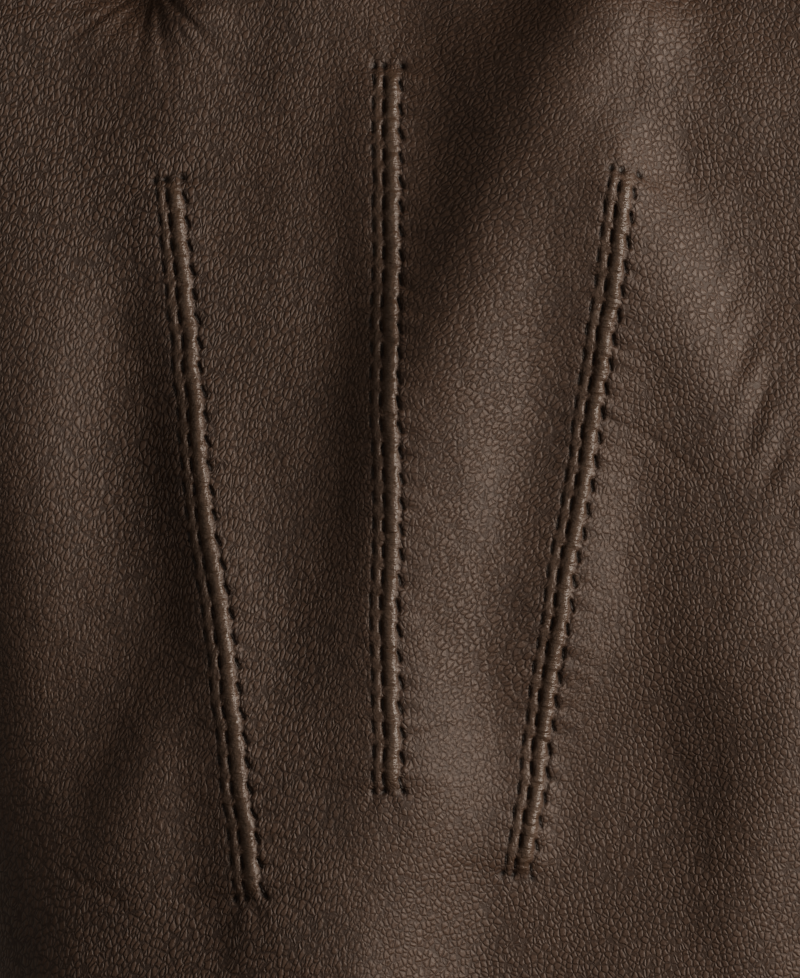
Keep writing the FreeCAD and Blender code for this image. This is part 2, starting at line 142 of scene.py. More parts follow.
def soft_min(a, b, k):
    """The lower of two fields, with a fillet of size k where they meet."""
    h = np.clip(0.5 + 0.5 * (b - a) / k, 0, 1)
    return b * (1 - h) + a * h - k * h * (1 - h)


def soft_max(a, b, k):
    return -soft_min(-a, -b, k)


def finger_frame(name, p):
    """Across, along and up in a finger's own frame, along counted from the knuckle hinge."""
    x, y, angle = FINGERS[name][:3]
    c, s = math.cos(math.radians(angle)), math.sin(math.radians(angle))
    dx, dy = p[:, 0] - x, p[:, 1] - y
    return dx * c - dy * s, dx * s + dy * c, p[:, 2]


def capped_tube(u, s, z, half, high, end, start):
    """A flattened tube along s that lies on z = 0, with a round end at s = end."""
    r = high * 0.47
    nose = np.clip(s - (end - half), 0, half)
    round_half = np.sqrt(np.maximum(half**2 - nose**2, 0))
    cap = np.clip(s - (end - r), 0, None)
    inner = np.sqrt(np.maximum(r**2 - cap**2, 0))
    core = np.where(nose > 0, np.maximum(round_half - inner, 0), np.maximum(half - r, 0))
    du = np.maximum(np.abs(u) - core, 0)
    dz = np.maximum(np.abs(z - high / 2) - (high / 2 - r), 0)
    ds = cap + np.maximum(start - s, 0)
    return np.sqrt(du**2 + dz**2 + ds**2) - r


def finger_field(name, p):
    """Below zero inside a finger, which tapers from its knuckle to its end."""
    base, tip, wide, mid, end = FINGERS[name][3:]
    u, s, z = finger_frame(name, p)
    total = base + tip
    if name == "thumb":
        across = through(s, [-52, -21, 6, base, total - 12, total], [24, 35, wide, mid, end + 1, end])
        high = through(s, [-52, -21, 6, base, total], [22, 21, 17.4, 15.4, 12])
        u = u - through(s, [-52, -21, 6], [-9, -3, 0])
        return capped_tube(u, s, z, across / 2, high, total, -52)
    across = through(s, [0, base, total - 12, total], [wide, mid, end + 1.2, end])
    high = through(s, [-14, 0, base, total], [18.5, 17.6, 15.6, 12])
    return capped_tube(u, s, z, across / 2, high, total, -16)


def hand_field(p):
    """Below zero inside the hand, from the cuff to the forks."""
    x, y, z = p.T
    left = through(y, [0, 38, 92, 143, 158], [-43, -39.5, -45.5, -48, -48])
    right = through(y, [0, 38, 92, 143, 158], [48, 43, 50, 53.4, 53.8])
    high = through(y, [0, 12, 38, 92, 125, 143, 158], [29, 28.4, 26.6, 25.4, 22.4, 19.8, 17.8])
    half, u = (right - left) / 2, x - (right + left) / 2
    flat = 1 - 0.13 * np.clip(u / half, -1, 1) ** 2
    z = z / flat
    r = high * 0.47
    du = np.maximum(np.abs(u) - (half - r), 0)
    dz = np.maximum(np.abs(z - high / 2) - (high / 2 - r), 0)
    side = np.hypot(du, dz) - r
    last = through(x, [-48, -36, -23.6, -12, 0.6, 13, 26.6, 40, 54],
                   [144.5, 147.5, 149.6, 153, 154.6, 155, 151.2, 151.5, 148.5])
    return soft_max(side, y - last, 6.0)


def glove_field(p):
    """Below zero inside the closed glove, with the distance to its surface as its size."""
    q = p.copy()
    q[:, 0] += 0.7 * np.sin(p[:, 1] / 17 + 0.6) + 0.3 * np.sin(p[:, 1] / 6.1 + p[:, 2] / 9)
    q[:, 1] += 0.5 * np.sin(p[:, 0] / 13 + 1.1)
    fingers = None
    for name in FINGERS:
        if name != "thumb":
            f = finger_field(name, q)
            fingers = f if fingers is None else soft_min(fingers, f, 0.8)
    body = soft_min(hand_field(q), finger_field("thumb", q), 9.0)
    return soft_min(body, fingers, 4.0)


def leather_field(p):
    """The closed glove with an open, hemmed cuff."""
    f = glove_field(p)
    f = soft_max(f, -p[:, 1], 1.2)
    return soft_max(f, -(glove_field(p) + HEM_THICKNESS), 0.8)


def lining_field(p):
    """The lining, a surface inside the leather."""
    return glove_field(p) + LINING_DEPTH


def gradient(field, p, h=0.05):
    """A field and its slope at points."""
    here = field(p)
    g = np.empty_like(p)
    for a in range(3):
        moved = p.copy()
        moved[:, a] += h
        g[:, a] = (field(moved) - here) / h
    return here, g


def onto(field, p, rounds=2):
    """Moves points onto the zero level of a field."""
    for _ in range(rounds):
        f, g = gradient(field, p)
        p = p - np.clip(f / np.maximum((g**2).sum(1), 0.2), -1, 1)[:, None] * g
    return p


# ---------------------------------------------------------------------------------------------------
# Meshes
# ---------------------------------------------------------------------------------------------------
def surface_net(field, lo, hi, size):
    """Points and quads on the zero level of a field."""
    axes = [np.arange(a, b + size, size) for a, b in zip(lo, hi)]
    shape = [len(a) for a in axes]
    grid = np.stack(np.meshgrid(*axes, indexing="ij"), -1).reshape(-1, 3)
    f = np.concatenate([field(part) for part in np.array_split(grid, 12)]).reshape(shape)
    inside = f < 0
    cells = [n - 1 for n in shape]
    total = np.zeros((cells[0] * cells[1] * cells[2], 3))
    count = np.zeros(len(total))
    quads = []
    for a in range(3):
        b, c = (a + 1) % 3, (a + 2) % 3
        near, far = [slice(None)] * 3, [slice(None)] * 3
        near[a], far[a] = slice(None, -1), slice(1, None)
        cut = inside[tuple(near)] != inside[tuple(far)]
        at = np.argwhere(cut)
        at = at[(at[:, b] > 0) & (at[:, b] < shape[b] - 1) & (at[:, c] > 0) & (at[:, c] < shape[c] - 1)]
        after = at.copy()
        after[:, a] += 1
        f0, f1 = f[tuple(at.T)], f[tuple(after.T)]
        spot = at.astype(float)
        spot[:, a] += f0 / (f0 - f1)
        ids = []
        for db, dc in ((-1, -1), (0, -1), (0, 0), (-1, 0)):
            cell = at.copy()
            cell[:, b] += db
            cell[:, c] += dc
            flat = (cell[:, 0] * cells[1] + cell[:, 1]) * cells[2] + cell[:, 2]
            ids.append(flat)
            for k in range(3):
                total[:, k] += np.bincount(flat, spot[:, k], len(total))
            count += np.bincount(flat, minlength=len(total))
        quad = np.stack(ids, 1)
        outward = f0 < f1
        quads.append(np.where(outward[:, None], quad, quad[:, ::-1]))
    quads = np.concatenate(quads)
    used = np.unique(quads)
    index = np.full(len(total), -1)
    index[used] = np.arange(len(used))
    points = total[used] / count[used][:, None] * size + np.array(lo)
    return points, index[quads]


def relax(points, quads, field, rounds=4):
    """Evens out a quad mesh while it stays on its field's surface."""
    ends = np.concatenate([quads[:, [0, 1]], quads[:, [1, 2]], quads[:, [2, 3]], quads[:, [3, 0]]])
    ends = np.unique(np.sort(ends, 1), axis=0)
    a, b = ends[:, 0], ends[:, 1]
    degree = np.bincount(a, minlength=len(points)) + np.bincount(b, minlength=len(points))
    for _ in range(rounds):
        mean = np.empty_like(points)
        for k in range(3):
            mean[:, k] = np.bincount(a, points[b, k], len(points)) + np.bincount(b, points[a, k], len(points))
        points = points + 0.6 * (mean / degree[:, None] - points)
        points = onto(field, points, 1)
    return points


def refine(points, quads, *picks):
    """Halves the faces that each pick in turn chooses by their middles."""
    bm = bmesh.new()
    verts = [bm.verts.new(p) for p in points.tolist()]
    for q in quads.tolist():
        bm.faces.new([verts[i] for i in q])
    for pick in picks:
        bm.faces.ensure_lookup_table()
        middles = np.array([f.calc_center_median() for f in bm.faces])
        marked = np.nonzero(pick(middles))[0].tolist()
        edges = {e for i in marked for e in bm.faces[i].edges}
        bmesh.ops.subdivide_edges(bm, edges=sorted(edges, key=lambda e: e.index), cuts=1, use_grid_fill=True)
        bm.verts.index_update()
        bm.edges.index_update()
    points = np.array([v.co for v in bm.verts])
    faces = [[v.index for v in f.verts] for f in bm.faces]
    bm.free()
    return points, faces


def mesh_from(name, points, faces):
    mesh = bpy.data.meshes.new(name)
    mesh.from_pydata(points.tolist() if hasattr(points, "tolist") else points, [], faces)
    mesh.update()
    return mesh


def vertex_normals(points, faces):
    mesh = mesh_from("scratch", points, faces)
    normals = np.empty(len(points) * 3, np.float32)
    mesh.vertex_normals.foreach_get("vector", normals)
    bpy.data.meshes.remove(mesh)
    return normals.reshape(-1, 3).astype(float)


# ---------------------------------------------------------------------------------------------------
# Relief of the leather
# ---------------------------------------------------------------------------------------------------
def point_frame(point, x, y):
    """Along from the near end and across, towards the thumb, of a stitched point."""
    far, near = np.array(point[0]), np.array(point[1])
    line = far - near
    length = np.hypot(*line)
    d = line / length
    t = (x - near[0]) * d[0] + (y - near[1]) * d[1]
    q = (x - near[0]) * d[1] - (y - near[1]) * d[0]
    return t, q, length


def wobble(t, k):
    """How far across a point's line strays from straight."""
    return 0.16 * noise(t / 3.1, 0 * t, 20 + k) + 0.28 * noise(t / 11.0, 0 * t, 30 + k)


# Soft slopes of the back of the hand: x, y, reach across, reach along, turn in degrees, and fall towards +x
SLOPES = [
    (-20.6, 101.0, 2.6, 20.0, -7.0, -0.34),
    (-25.0, 77.0, 3.2, 14.0, 24.0, -0.30),
    (-20.5, 66.0, 3.0, 10.0, 10.0, 0.16),
    (-15.9, 80.0, 2.2, 15.0, -7.0, -0.16),
    (-14.2, 60.0, 2.2, 4.5, 0.0, -0.14),
    (-15.0, 96.0, 3.5, 22.0, -7.0, 0.12),
    (-2.7, 110.0, 2.2, 17.0, 0.0, -0.20),
    (-5.6, 94.0, 3.6, 20.0, 10.0, -0.16),
    (-4.4, 134.0, 3.4, 14.0, 0.0, -0.26),
    (-12.0, 137.0, 5.0, 18.0, 0.0, -0.30),
    (-28.0, 142.0, 3.5, 12.0, 0.0, -0.30),
    (8.6, 138.0, 6.8, 14.0, 20.0, -0.52),
    (3.6, 121.0, 4.4, 12.0, 18.0, -0.46),
    (16.8, 149.0, 4.5, 7.0, 20.0, -0.30),
    (10.2, 104.0, 4.2, 16.0, 8.0, 0.46),
    (7.4, 76.0, 4.8, 14.0, -4.0, 0.38),
    (4.0, 54.0, 8.5, 20.0, 0.0, 0.44),
    (17.2, 68.5, 3.4, 7.5, 0.0, 0.40),
    (21.3, 96.0, 3.0, 16.0, 8.0, 0.34),
    (30.5, 120.5, 3.4, 12.0, -21.0, 0.48),
    (24.4, 132.0, 2.4, 4.5, 0.0, 0.36),
    (27.0, 147.0, 3.6, 7.0, 0.0, 0.34),
    (30.5, 81.0, 3.8, 15.0, -5.0, -0.16),
    (29.5, 60.0, 3.2, 9.0, 0.0, -0.10),
    (-29.5, 108.0, 4.0, 18.0, 0.0, 0.34),
    (-20.4, 147.5, 2.0, 3.4, -5.0, -0.34),
    (-22.4, 138.0, 2.6, 8.0, -4.0, -0.20),
]
# Long faint creases: ends and depth
CREASES = [
    ((19.8, 109.4), (30.7, 102.2), 0.12),
    ((19.1, 70.6), (26.4, 62.9), 0.16),
    ((26.4, 62.9), (30.3, 66.8), 0.14),
    ((1.8, 78.3), (7.7, 78.6), 0.14),
    ((-31.0, 66.0), (-24.0, 60.5), 0.14),
]


def point_relief(x, y):
    """Height of the tucks and the stitch holes, how much of the surface is tuck, and how dark it is painted for
    the stitch holes and knots and for painted shade in the grooves.
    """
    rise, tuck, hole_and_shade = np.zeros_like(x), np.zeros_like(x), np.zeros_like(x)
    for k, point in enumerate(POINTS):
        t, q, length = point_frame(point, x, y)
        near = (t > -9) & (t < length + 9) & (np.abs(q) < 14)
        t, q = t[near], q[near]
        q = q + wobble(t, k) + 0.05 * noise(t / 0.8, q / 0.9, 48 + k)
        ends = step(t, -0.6, 1.6) * step(length - t, -0.6, 1.6)
        pitch = length / STITCHES
        phase = 2 * math.pi * (t / pitch + 0.06 * noise(t / 5, 0 * t, 40 + k))
        full = 1 + 0.14 * np.cos(phase - 0.6) + 0.22 * noise(t / 2.3, 0 * t, 50 + k)
        plump = np.clip(1 - ((q - 0.56) / (0.72 * (0.86 + 0.14 * full))) ** 2, 0, 1) ** 0.85
        slim = np.clip(1 - ((q + 0.75) / 0.46) ** 2, 0, 1)
        cross = noise(t / 0.42 + 0.5 * q, q / 1.6, 55 + k) + 0.6 * noise(t / 0.95 - 0.3 * q, q / 2.0, 57 + k)
        fold = bell(np.mod(t / 3.7 + 0.5 * noise(t / 6.0, 0 * t, 58 + k), 1) - 0.5, 0.05)
        h = ends * plump * (0.33 * full + 0.035 * cross - 0.16 * fold)
        h += ends * slim * (0.09 + 0.05 * noise(t / 1.6, 0 * t, 59 + k))
        h += 0.40 * ends * bell(q, 4.6)
        gone = np.maximum(-t, t - length).clip(0)
        pull = np.arctan2(gone + 0.6, q)
        h += 0.05 * bell(gone - 1.2, 2.6) * (gone > 0) * np.cos(7 * pull) * bell(q, 3.5)
        holes_and_shade = np.zeros_like(t)
        for row, (offset, lean, slot_width, depth, bridge, groove_width, groove, shade) in enumerate(ROWS):
            place = np.mod(t / pitch + ROW_SHIFT * row, 1) - 0.5
            count = np.floor(t / pitch + ROW_SHIFT * row)
            long = 0.50 + 0.14 * noise(count * 1.7, 0 * t, 65 + row + 3 * k)
            across = q - offset + lean * place + 0.06 * noise(count * 2.3, 0 * t, 75 + row)
            along = bell(np.clip(np.abs(place * pitch) - 0.34, 0, None), long * 0.6)
            slot = bell(across, slot_width) * along
            h += bridge * bell(across, 0.24) * (1 - along) * ends
            line = bell(across, groove_width) * ends
            uneven = 0.6 + 0.5 * noise(t / 2.6, 0 * t, 60 + row + 3 * k)
            h -= depth * slot * ends + groove * line * uneven
            knot = bell(across, 0.26) * (bell(t + 0.2, 0.36) + bell(t - length - 0.2, 0.36))
            h -= 0.4 * knot
            # painted shade: the groove is darkened in colour, as the shadow in it would be
            shadow = shade * line * uneven.clip(0, 1) * (0.4 + 0.6 * along)
            holes_and_shade = np.maximum.reduce([holes_and_shade, slot * ends, knot, shadow])
        far_side = np.clip(np.abs(q - 0.06) - 1.5, 0, None)
        pucker = np.exp(-far_side / 1.3) * (far_side > 0) * np.cos(phase + 1.2 + 0.7 * q)
        tug = np.exp(-far_side / 2.6) * (far_side > 0) * noise(t / 0.8 + 0.4 * q, q / 1.9, 70 + k)
        h += ends * np.where(q > 0, 1.0, 0.45) * (0.09 * pucker + 0.09 * tug)
        rise[near] += h
        tuck[near] = np.maximum(tuck[near], ends * np.maximum(plump, 0.6 * slim))
        hole_and_shade[near] = np.maximum(hole_and_shade[near], holes_and_shade)
    return rise, tuck, hole_and_shade


def back_relief(x, y):
    """Relief of the back of the hand in millimetres, with its tuck share and its share of dark stitch holes and
    painted groove shade.
    """
    h = 1.1 * bell(x - 2, 34) * bell(y - 103, 46)
    for cx, cy, sx, sy, turn, fall in SLOPES:
        c, s = math.cos(math.radians(turn)), math.sin(math.radians(turn))
        u, v = (x - cx) * c - (y - cy) * s, (x - cx) * s + (y - cy) * c
        h -= fall * sx * np.tanh(u / sx) * bell(v, sy) * bell(u, 3.4 * sx)
    for (ax, ay), (bx, by), deep in CREASES:
        d = np.array([bx - ax, by - ay])
        length = np.hypot(*d)
        d /= length
        t = (x - ax) * d[0] + (y - ay) * d[1]
        q = -(x - ax) * d[1] + (y - ay) * d[0] + 0.5 * noise(t / 5, 0 * t, 80)
        h -= deep * bell(q, 0.45) * step(t, -1.5, 2) * step(length - t, -1.5, 2)
    for k, (fx, fy, deep, reach) in enumerate(FORKS):
        dx, dy = x - fx, y - fy
        r, angle = np.hypot(dx, dy), np.arctan2(dx, -dy)
        fan = noise(angle * 4.2 + 3, r / 16, 90 + k) + 0.6 * noise(angle * 9, r / 10, 95 + k)
        h += deep * fan * np.exp(-r / reach) * step(r, 0.8, 3.5)
    h += 0.20 * noise(x / 9, y / 12, 1) + 0.07 * noise(x / 3.4, y / 4.4, 2) + 0.03 * noise(x / 1.5, y / 1.9, 3)
    rise, tuck, hole_and_shade = point_relief(x, y)
    return h + rise, tuck, hole_and_shade


def relief(points, normals):
    """Relief along the normal for every point of the leather, with its tuck share, its share of dark stitch
    holes and painted groove shade, and its seam share.
    """
    x, y, z = points.T
    up = step(normals[:, 2], 0.15, 0.75)
    on_hand = step(y, 40, 55) * (1 - step(y, 150, 158)) * up
    h, tuck, hole_and_shade = back_relief(x, y)
    h, tuck, hole_and_shade = h * on_hand, tuck * on_hand, hole_and_shade * on_hand
    soft = 0.35 * noise(x / 17, y / 21 + z / 15, 4) + 0.12 * noise(x / 6, y / 7 + z / 6, 5)
    h += soft * (1 - on_hand) * step(y, 10, 22)
    seam = np.zeros_like(x)
    for name, (_, _, _, base, tip, wide, mid, end) in FINGERS.items():
        u, s, _ = finger_frame(name, points)
        half = through(s, [0, base, base + tip], [wide / 2, mid / 2, end / 2])
        high = through(s, [0, base, base + tip], [17.5, 15.5, 12])
        here = step(s, -1, 4) * (np.abs(u) < half + 2.5)
        if name == "thumb":
            here = step(s, -12, -6) * (np.abs(u) < half + 4)
        for joint, reach, deep in ((base, 6.5, 0.55), (base + tip * 0.52, 4.0, 0.3), (2.0, 5.0, 0.35)):
            lines = noise(s / 1.9 + 0.25 * noise(u / 6, 0 * u, 6), u / 13, 7)
            h += deep * 0.8 * lines * bell(s - joint, reach) * here * step(np.abs(normals[:, 2]), 0.1, 0.7)
        sides = {"index": (-1,), "little": (1,)}.get(name, (-1, 1))
        for side in sides:
            facing = step(side * u, half * 0.25, half * 0.6) * here * step(base + tip * 0.92 - s, 0, 6)
            for level in (0.27, 0.74):
                line = bell(z - level * high, 0.55) * facing
                h -= 0.55 * line
                seam = np.maximum(seam, line)
            band = bell(z - 0.5 * high, high * 0.16) * facing
            h -= 0.15 * band
    u, s, _ = finger_frame("thumb", points)
    by_thumb = step(x, 30, 36)
    ring = bell(s - THUMB_SEAM - 0.012 * u**2, 0.55) * step(20 - np.abs(u), 0, 3) * by_thumb
    h -= 0.55 * ring
    thumb_gather = np.cos(2 * math.pi * u / 3.7 + 0.8 * noise(s / 5, u / 5, 9))
    h += 0.22 * thumb_gather * bell(s - THUMB_SEAM - 2 - 0.012 * u**2, 3.2) * by_thumb
    side_seam = bell(z - SIDE_SEAM_HEIGHT, 0.5) * step(-x, 26, 36) * (1 - step(y, 138, 144)) * step(y, 2, 6)
    h -= 0.5 * side_seam
    outside = step(glove_field(points), -1.2, -0.3)
    hem = bell(y - HEM_SEAM, 0.7) * outside
    h -= 0.28 * hem
    h += 0.25 * bell(y - 4.6, 3.2) * outside
    under = 1 - step(normals[:, 2], -0.6, -0.1)
    gather = np.cos(x * 2 * math.pi / 4.3 + 1.2 * noise(x / 7, y / 9, 8)) * bell(y - WRIST, 9) * bell(x - 2, 26)
    h += 0.5 * gather * under * step(28 - np.abs(x - 2), 0, 8)
    round_thumb = bell(np.hypot(x - 54, y - 90) - 33, 1.3) * step(50 - x, 0, 6) * step(y, 58, 66)
    across_palm = bell(y - 124 - 0.004 * (x + 12) ** 2 - 0.10 * x, 1.2)
    across_palm = across_palm * step(x, -42, -32) * step(34 - x, 0, 12)
    folds = 0.7 * round_thumb + 0.6 * across_palm + 0.35 * (1 + noise(x / 4.5, y / 9, 14)) * step(y, 14, 26)
    hollow = bell(x - 4, 27) * bell(y - 100, 32)
    h -= under * (folds * step(150 - y, 0, 8) + hollow)
    h = np.where(h < -1.0, -1.0 - 0.7 * np.tanh((-1.0 - h) / 0.7), h)
    seam = np.maximum.reduce([seam, ring, side_seam, 0.7 * hem])
    return h, tuck, hole_and_shade, seam


# ---------------------------------------------------------------------------------------------------
# Materials
# ---------------------------------------------------------------------------------------------------
DARK_BROWN, FURROW_BROWN = (0.042, 0.0225, 0.0136, 1), (0.0165, 0.0078, 0.0042, 1)
# the darkest brown serves the stitch holes and seams, and also paints the shade in the point grooves
# the lighter brown laid on the tucks is a painted highlight
TUCK_HIGHLIGHT_BROWN, HOLE_SEAM_AND_SHADE_BROWN = (0.064, 0.044, 0.031, 1), (0.0035, 0.0020, 0.0016, 1)
PAD_GREY, PAD_FURROW = (0.046, 0.041, 0.037, 1), (0.026, 0.023, 0.020, 1)
GRAIN_DEPTH = 0.00011  # metres


class Nodes:
    """A short way to build a shader."""

    def __init__(self, name):
        self.material = bpy.data.materials.new(name)
        self.material.use_nodes = True
        self.tree = self.material.node_tree
        self.tree.nodes.clear()
        self.out = self.add("ShaderNodeOutputMaterial")

    def add(self, kind, values=(), **settings):
        node = self.tree.nodes.new(kind)
        for key, value in settings.items():
            setattr(node, key, value)
        for key, value in dict(values).items():
            if isinstance(value, bpy.types.NodeSocket):
                self.tree.links.new(value, node.inputs[key])
            else:
                node.inputs[key].default_value = value
        return node

    def math(self, operation, a, b=0.0, clamp=False):
        return self.add("ShaderNodeMath", {0: a, 1: b}, operation=operation, use_clamp=clamp).outputs[0]

    def mix(self, share, a, b):
        node = self.add("ShaderNodeMix", {0: share, 6: a, 7: b}, data_type="RGBA")
        return node.outputs[2]

    def blend(self, share, a, b):
        return self.add("ShaderNodeMix", {0: share, 2: a, 3: b}, data_type="FLOAT").outputs[0]

    def remap(self, value, lo, hi, to_lo=0.0, to_hi=1.0):
        return self.add("ShaderNodeMapRange", {0: value, 1: lo, 2: hi, 3: to_lo, 4: to_hi}).outputs[0]

    def swell(self, value, lo, hi):
        node = self.add("ShaderNodeMapRange", {0: value, 1: lo, 2: hi}, interpolation_type="SMOOTHSTEP")
        return node.outputs[0]

    def attribute(self, name):
        return self.add("ShaderNodeAttribute", attribute_name=name)

    def principled(self, **values):
        named = {key.replace("_", " "): value for key, value in values.items()}
        shader = self.add("ShaderNodeBsdfPrincipled", named)
        self.tree.links.new(shader.outputs[0], self.out.inputs[0])
        return self.material


def leather_material(name, grain=1.0, base=DARK_BROWN, dark=FURROW_BROWN):
    """Grained leather. Its pebbles lengthen and lean where the leather is stretched."""
    n = Nodes(name)
    rest = n.attribute("rest").outputs["Vector"]
    warp = n.add("ShaderNodeTexNoise", {"Vector": rest, "Scale": 1.3, "Detail": 1.0})
    offset = n.add("ShaderNodeVectorMath", {0: warp.outputs["Color"], 1: (0.5, 0.5, 0.5)}, operation="SUBTRACT")
    offset = n.add("ShaderNodeVectorMath", {0: offset.outputs[0], 3: 0.36}, operation="SCALE")
    moved = n.add("ShaderNodeVectorMath", {0: rest, 1: offset.outputs[0]}, operation="ADD").outputs[0]

    def pebbles(turn, stretch, scale, strength):
        """Height of the grain, with scale cells a millimetre that are longer than wide by 1 / stretch."""
        size = (1 / scale, 1 / (scale * stretch), 1 / scale)
        turned = n.add(
            "ShaderNodeMapping",
            {"Vector": moved, "Rotation": (0, 0, math.radians(turn)), "Scale": size},
            vector_type="TEXTURE",
        )
        cells = n.add("ShaderNodeTexVoronoi", {"Vector": turned.outputs[0], "Scale": 1.0, "Randomness": 0.85},
                      feature="DISTANCE_TO_EDGE")
        edge = n.swell(cells.outputs["Distance"], 0.0, 0.23)
        dome = n.swell(cells.outputs["Distance"], 0.0, 0.45)
        whole = n.math("ADD", n.math("MULTIPLY", edge, 0.62), n.math("MULTIPLY", dome, 0.38))
        return n.blend(strength, 0.80, whole)

    round_cells = pebbles(12, 0.88, 1.85, 0.62)
    steep = pebbles(-22, 0.46, 2.25, 0.90)
    slanted = pebbles(-55, 0.56, 2.05, 0.70)
    lean = n.add("ShaderNodeSeparateXYZ", {0: n.attribute("lean").outputs["Vector"]})
    cells = n.blend(lean.outputs[0], round_cells, steep)
    cells = n.blend(lean.outputs[1], cells, slanted)
    ridge = n.attribute("tuck").outputs["Fac"]
    hole_and_shade = n.attribute("hole_and_shade").outputs["Fac"]
    stretched = n.add(
        "ShaderNodeMapping", {"Vector": rest, "Scale": (0.8, 2.6, 0.8), "Rotation": (0, 0, 0.06)}
    ).outputs[0]
    wrinkle = n.add("ShaderNodeTexNoise", {"Vector": stretched, "Scale": 0.9, "Detail": 3.0, "Roughness": 0.6})
    wrinkles = n.math("MULTIPLY", wrinkle.outputs["Fac"], 2.6)
    smooth = n.math("MULTIPLY", ridge, 0.85, clamp=True)
    height = n.blend(smooth, cells, wrinkles)
    pores = n.add("ShaderNodeTexNoise", {"Vector": rest, "Scale": 5.5, "Detail": 3.0, "Roughness": 0.65})
    height = n.math("ADD", height, n.math("MULTIPLY", pores.outputs["Fac"], 0.30))
    patches = n.add("ShaderNodeTexNoise", {"Vector": rest, "Scale": 0.16, "Detail": 4.0, "Roughness": 0.6})
    depth = n.remap(patches.outputs["Fac"], 0.3, 0.7, 0.90, 1.10)
    height = n.math("MULTIPLY", height, depth)
    bump = n.add("ShaderNodeBump", {"Height": height, "Strength": 1.0, "Distance": GRAIN_DEPTH * grain})
    mottle = n.add("ShaderNodeTexNoise", {"Vector": rest, "Scale": 0.9, "Detail": 3.0, "Roughness": 0.6})
    tone = n.remap(height, 0.30, 0.92)
    tone = n.math("ADD", tone, n.remap(mottle.outputs["Fac"], 0.3, 0.7, -0.10, 0.10), clamp=True)
    colour = n.mix(tone, dark, base)
    pale = n.remap(patches.outputs["Fac"], 0.35, 0.75, 0.0, 0.12)
    colour = n.mix(pale, colour, tuple(min(1, 1.35 * c) for c in base[:3]) + (1,))
    # painted highlight: the tucks are lightened where the light falls on them
    colour = n.mix(n.math("MULTIPLY", ridge, 0.6), colour, TUCK_HIGHLIGHT_BROWN)
    # dark stitch holes, knots and seams, together with painted shade in the point grooves
    closed = n.math("MAXIMUM", hole_and_shade, n.math("MULTIPLY", n.attribute("seam").outputs["Fac"], 0.75))
    colour = n.mix(n.math("MULTIPLY", closed, 1.05, clamp=True), colour, HOLE_SEAM_AND_SHADE_BROWN)
    rough = n.remap(height, 0.2, 1.2, 0.66, 0.50)
    rough = n.math("SUBTRACT", rough, n.math("MULTIPLY", ridge, 0.20))
    return n.principled(Base_Color=colour, Roughness=rough, Specular_IOR_Level=0.40, Normal=bump.outputs[0])


def thread_material():
    """Matt twisted thread."""
    n = Nodes("thread")
    rest = n.attribute("rest").outputs["Vector"]
    twist = n.add("ShaderNodeTexWave", {"Vector": rest, "Scale": 1.6, "Distortion": 1.5},
                  bands_direction="DIAGONAL")
    bump = n.add("ShaderNodeBump", {"Height": twist.outputs["Fac"], "Strength": 0.6, "Distance": 0.00006})
    colour = n.mix(twist.outputs["Fac"], (0.006, 0.0038, 0.003, 1), (0.018, 0.011, 0.008, 1))
    return n.principled(Base_Color=colour, Roughness=0.7, Normal=bump.outputs[0])


def lining_material():
    """Fuzzy knitted cloth."""
    n = Nodes("lining_knit")
    rest = n.attribute("rest").outputs["Vector"]
    rows = n.add("ShaderNodeTexWave", {"Vector": rest, "Scale": 0.75, "Distortion": 1.2, "Detail": 2.0})
    fuzz = n.add("ShaderNodeTexNoise", {"Vector": rest, "Scale": 3.5, "Detail": 5.0, "Roughness": 0.7})
    height = n.math("ADD", n.math("MULTIPLY", rows.outputs["Fac"], 0.6), fuzz.outputs["Fac"])
    bump = n.add("ShaderNodeBump", {"Height": height, "Strength": 0.8, "Distance": 0.0003})
    colour = n.mix(fuzz.outputs["Fac"], (0.10, 0.072, 0.05, 1), (0.24, 0.18, 0.13, 1))
    return n.principled(Base_Color=colour, Roughness=0.95, Normal=bump.outputs[0])


def plain(name, colour, rough):
    """One even colour."""
    return Nodes(name).principled(Base_Color=(*colour, 1), Roughness=rough)


LEATHER_MATERIAL = leather_material("leather")
PAD_MATERIAL = leather_material("touch_leather", 0.35, PAD_GREY, PAD_FURROW)
THREAD_MATERIAL = thread_material()
LINING_MATERIAL = lining_material()
LABEL_MATERIAL = plain("label_satin", (0.50, 0.47, 0.42), 0.45)


# ---------------------------------------------------------------------------------------------------
# Pieces
# ---------------------------------------------------------------------------------------------------
SIDES = {"left": 1, "right": -1}


def to_row(points, side):
    """From the hand frame in millimetres to the row frame in metres."""
    out = np.array(points, float)
    out[..., 0] = SIDES[side] * (out[..., 0] + HAND_SHIFT[0])
    out[..., 1] += HAND_SHIFT[1]
    return out / 1000


def add_piece(name, side, points, faces, material, normals=None, shares=None):
    """A piece of one glove from points in the hand frame. Its faces turn over on the right glove."""
    order = 1 if SIDES[side] > 0 else -1
    mesh = mesh_from(name, to_row(points, side), [f[::order] for f in faces])
    mesh.polygons.foreach_set("use_smooth", np.ones(len(mesh.polygons), bool))
    rest = mesh.attributes.new("rest", "FLOAT_VECTOR", "POINT")
    rest.data.foreach_set("vector", np.asarray(points, np.float32).ravel())
    for key, values in (shares or {}).items():
        kind = "FLOAT_VECTOR" if values.ndim == 2 else "FLOAT"
        layer = mesh.attributes.new(key, kind, "POINT")
        layer.data.foreach_set("vector" if values.ndim == 2 else "value", values.astype(np.float32).ravel())
    if normals is not None:
        turned = normals.copy()
        turned[:, 0] *= SIDES[side]
        mesh.normals_split_custom_set_from_vertices(turned.tolist())
    mesh.materials.append(material)
    obj = bpy.data.objects.new(name, mesh)
    bpy.context.scene.collection.objects.link(obj)
    return obj


